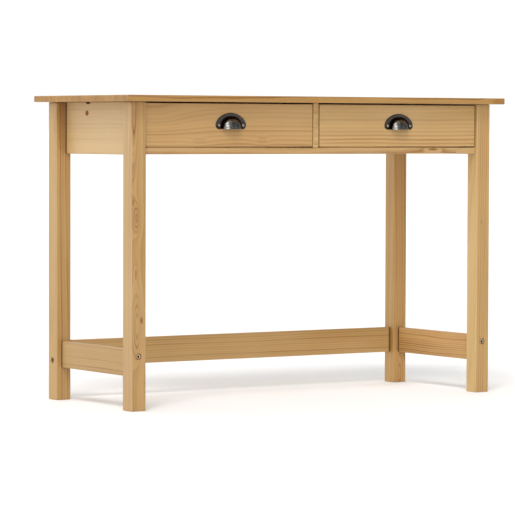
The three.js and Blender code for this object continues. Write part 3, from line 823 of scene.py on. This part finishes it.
def plate_reach(angle):
    """How far the back plate's outline is from the middle of its foot, in one direction."""

    def inside(x, z):
        if z > PLATE_SHOULDER:
            up = (z - PLATE_SHOULDER) / (PLATE_HEIGHT - PLATE_SHOULDER)
            return (x / PLATE_HALF_WIDTH) ** PLATE_POWER + up**PLATE_POWER <= 1
        if x <= PLATE_HALF_FOOT:
            return True
        out = (x - PLATE_HALF_FOOT) / (PLATE_HALF_WIDTH - PLATE_HALF_FOOT)
        return out**2 + ((z - PLATE_SHOULDER) / PLATE_SHOULDER) ** 2 <= 1

    near, far = 0.0, 2 * PLATE_HALF_WIDTH
    x, z = abs(math.cos(angle)), math.sin(angle)
    for _ in range(40):
        middle = (near + far) / 2
        near, far = (middle, far) if inside(middle * x, middle * z) else (near, middle)
    return near


def cup_reach(angle):
    x, z = abs(math.cos(angle)), abs(math.sin(angle))
    return ((x / CUP_WIDTH) ** CUP_POWER + (z / CUP_HEIGHT) ** CUP_POWER) ** (-1 / CUP_POWER)


# The plate's section from its rim to the crease: (part of the way in, inset, height), in mm.
PLATE_SECTION = (
    (0.0, 0.0, 0.0),
    (0.0, 0.0, 0.6),
    (0.0, 0.5, 1.25),
    (0.0, 1.2, 1.7),
    (0.0, 1.9, 1.8),
    (0.0, 2.6, 1.55),
    (0.35, 1.5, 1.45),
    (0.75, 0.5, 1.45),
    (0.93, 0.0, 1.2),
    (1.0, 0.0, 0.7),
    (1.0, 1.4, 0.5),
    (1.0, 1.4, 0.0),
)


def build_plate(bm, base):
    loops = []
    for i in range(HANDLE_COLUMNS + 1):
        angle = math.pi * i / HANDLE_COLUMNS
        outer, inner = plate_reach(angle), cup_reach(angle)
        loop = []
        for part, inset, height in PLATE_SECTION:
            reach = outer + (inner - outer) * part - inset * MM
            loop.append(base + Vector((reach * math.cos(angle), -height * MM, reach * math.sin(angle))))
        loops.append(loop)
    sweep(bm, loops)


def build_cup(bm, base):
    """A quarter of a swollen ellipsoid with a rolled lip, open at the bottom and at the back."""
    steps = 22
    section = []
    for layer, order in ((0.0, range(steps + 1)), (CUP_WALL, range(steps, -1, -1))):
        for i in order:
            rise = math.pi / 2 * i / steps
            section.append((layer, math.cos(rise), math.sin(rise)))

    def swollen(value):
        return math.copysign(abs(value) ** (2 / CUP_POWER), value)

    loops = []
    for i in range(HANDLE_COLUMNS + 1):
        turn = math.pi * i / HANDLE_COLUMNS
        loop = []
        for layer, outward, upward in section:
            bead = 0.5 * MM * max(0.0, 1 - upward / 0.09) if layer == 0 else 0.0
            x = (CUP_WIDTH - layer + bead) * swollen(outward) * swollen(math.cos(turn))
            y = (CUP_DEPTH - 0.5 * MM - layer + bead) * swollen(outward) * swollen(math.sin(turn))
            z = (CUP_HEIGHT - layer) * swollen(upward)
            loop.append(base + Vector((x, -y, z)))
        loops.append(loop)
    sweep(bm, loops)


def make_handle(node, body):
    low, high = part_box(node)
    base = Vector(((low.x + high.x) / 2, high.y, low.z))

    def build(bm):
        build_plate(bm, base)
        build_cup(bm, base)

    piece = mesh_object(f"{node}_detailed", build)
    stand_in(piece, node, body, pewter(node))


def make_handle_screw(node, body, material):
    low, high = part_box(node)
    radius = (high.x - low.x) / 2
    head = Vector(((low.x + high.x) / 2, low.y, (low.z + high.z) / 2))
    depth = high.y - low.y
    profile = (
        (0.0, -depth),
        (1.2 * MM, -depth + 3 * MM),
        (1.6 * MM, -depth + 5 * MM),
        (1.6 * MM, -2.0 * MM),
        (radius, -2.0 * MM),
        (radius, -1.5 * MM),
        (radius * 0.93, -1.0 * MM),
        (radius * 0.75, -0.5 * MM),
        (radius * 0.45, -0.12 * MM),
        (0.0, 0.0),
    )
    placing = Matrix.Translation(head) @ Vector((0, -1, 0)).to_track_quat("Z", "X").to_matrix().to_4x4()
    piece = mesh_object(f"{node}_detailed", lambda bm: lathe(bm, profile, 32, placing))

    def slot_cutter(bm):
        size = Matrix.Diagonal((2.4 * radius, 1.8 * MM, 0.9 * MM, 1))
        tilt = Matrix.Rotation(math.radians(24), 4, "Y")
        bmesh.ops.create_cube(bm, size=1, matrix=Matrix.Translation(head) @ tilt @ size)

    subtract(piece, mesh_object("slot_cutter", slot_cutter))
    stand_in(piece, node, body, material)


# ---- stretcher bolts ----


def make_bolt(node):
    """A socket head bolt with a chamfered, slightly dished head and a rounded hexagon socket."""
    low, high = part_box(node)
    head, outward = bolt_head(node)
    length = max(high - low)
    radius = min(high - low) / 2
    profile = (
        (0.0, -length),
        (2.2 * MM, -length),
        (3.0 * MM, -length + 1.0 * MM),
        (3.0 * MM, -6.0 * MM),
        (radius, -6.0 * MM),
        (radius, -0.9 * MM),
        (radius - 0.3 * MM, -0.35 * MM),
        (radius - 0.9 * MM, 0.0),
        (4.0 * MM, -0.1 * MM),
        (3.3 * MM, -0.5 * MM),
        (0.0, -0.5 * MM),
    )
    placing = Matrix.Translation(head) @ outward.to_track_quat("Z", "Y").to_matrix().to_4x4()
    piece = mesh_object(f"{node}_detailed", lambda bm: lathe(bm, profile, 48, placing))

    def socket_cutter(bm):
        profile = ((0, -3.2 * MM), (SOCKET_CORNERS, -2.8 * MM), (SOCKET_CORNERS, MM), (0, MM))
        lathe(bm, profile, 6, placing)

    subtract(piece, mesh_object("socket_cutter", socket_cutter))
    head_shade = BOLT_HEAD_SHADE.get(node, 0.0)
    stand_in(piece, node, "frame", zinc(f"{node}_zinc", head, outward, head_shade))


# ---- assembly ----

make_camera()
make_studio()

zinc_material = zinc("zinc_plate")
screw_material = rubbed_pewter()
for number, row in enumerate(frame["record"]["subparts"]):
    name, slot_name = row["node"], row["material_slot"]
    if name in BOARDS:
        finish = pine(name, **BOARDS[name])
    elif slot_name in ("drawer_pine", "plywood"):
        finish = raw_board(name, 60 + number)
    elif slot_name == "zinc_steel":
        finish = zinc_material
    else:
        continue
    NODES[name].data.materials.clear()
    NODES[name].data.materials.append(finish)

for side in ("left", "right"):
    drawer = f"{side}_drawer"
    make_handle(f"{side}_cup_handle", drawer)
    for letter in "ab":
        make_handle_screw(f"{side}_handle_screw_{letter}", drawer, screw_material)
for bolt_name in BOLT_WAYS:
    make_bolt(bolt_name)
